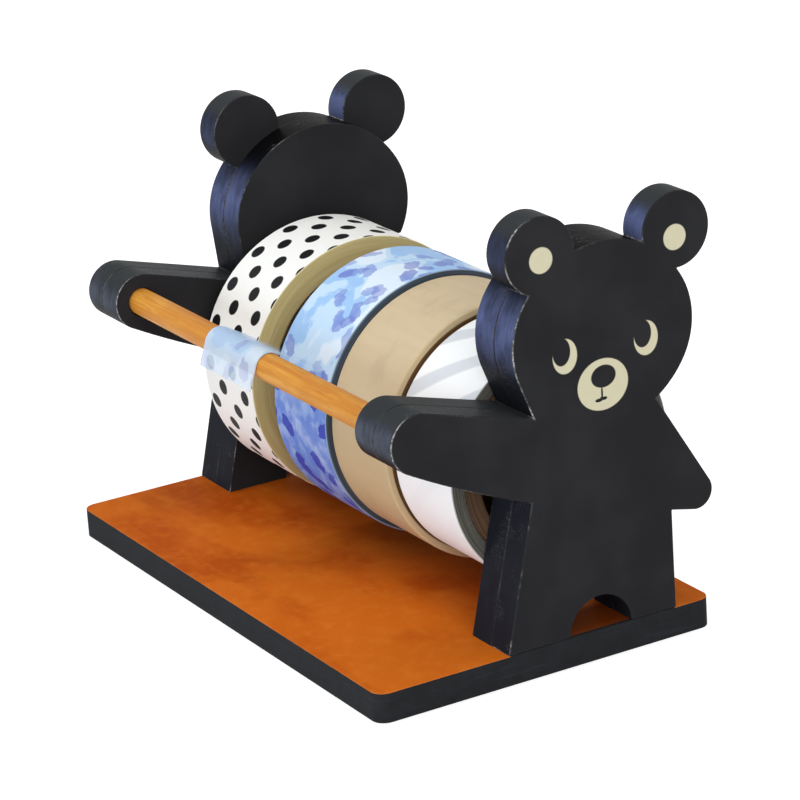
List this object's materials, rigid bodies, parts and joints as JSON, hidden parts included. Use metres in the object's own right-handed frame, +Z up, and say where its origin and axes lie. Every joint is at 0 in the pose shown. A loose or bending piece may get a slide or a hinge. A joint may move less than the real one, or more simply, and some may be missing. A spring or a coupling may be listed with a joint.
{
  "type": "multi-roll tape dispenser",
  "caption": "Small wooden tape dispenser with two black bear-shaped ends on an orange board, rolls of narrow tape on a removable axle and one tape end over a guide dowel",
  "frame": {"origin": "centre of the base board's underside, which rests on the desk", "axes": "+X runs along the axle towards the right-hand bear, -Y is the front, where the tape is pulled over the guide dowel, and +Z is up"},
  "size_m": [0.09, 0.0587, 0.0647],
  "materials": {
    "base_board": "board with a mottled orange printed top and black cut edges",
    "bear_board": "board stained near black, satin, with worn pale rims",
    "pale_wood": "turned wood, clear and smooth",
    "core_card": "rolled brown card, matt",
    "dotted_tape": "printed paper tape, white with black dots",
    "blue_tape": "printed paper tape, white and blue",
    "brown_tape": "plain brown paper tape",
    "striped_tape": "printed paper tape, white with soft grey stripes",
    "screw_steel": "zinc plated"
  },
  "bodies": {
    "frame": {"base_board": "base_board", "left_outer_bear": "bear_board", "left_inner_bear": "bear_board", "right_inner_bear": "bear_board", "right_outer_bear": "bear_board", "guide_dowel": "pale_wood", "blue_tape_end": "blue_tape", "foot_screws": "screw_steel"},
    "axle": {"roll_axle": "pale_wood"},
    "dotted_roll": {"dotted_core": "core_card", "dotted_tape": "dotted_tape"},
    "blue_roll": {"blue_core": "core_card", "blue_tape": "blue_tape"},
    "brown_roll": {"brown_core": "core_card", "brown_tape": "brown_tape"},
    "striped_roll": {"striped_core": "core_card", "striped_tape": "striped_tape"}
  },
  "joints": [
    {"name": "axle_out", "type": "slide", "parent": "frame", "child": "axle", "axis": [0, 1, 0], "range_m": [0, 0.04]},
    {"name": "dotted_turn", "type": "hinge", "parent": "axle", "child": "dotted_roll", "pos_m": [-0.0251, 0.0096, 0.02609], "axis": [1, 0, 0], "continuous": true},
    {"name": "blue_turn", "type": "hinge", "parent": "axle", "child": "blue_roll", "pos_m": [-0.0034, 0.0096, 0.02609], "axis": [1, 0, 0], "continuous": true},
    {"name": "brown_turn", "type": "hinge", "parent": "axle", "child": "brown_roll", "pos_m": [0.0121, 0.0096, 0.02609], "axis": [1, 0, 0], "continuous": true},
    {"name": "striped_turn", "type": "hinge", "parent": "axle", "child": "striped_roll", "pos_m": [0.0277, 0.0096, 0.02609], "axis": [1, 0, 0], "continuous": true}
  ]
}
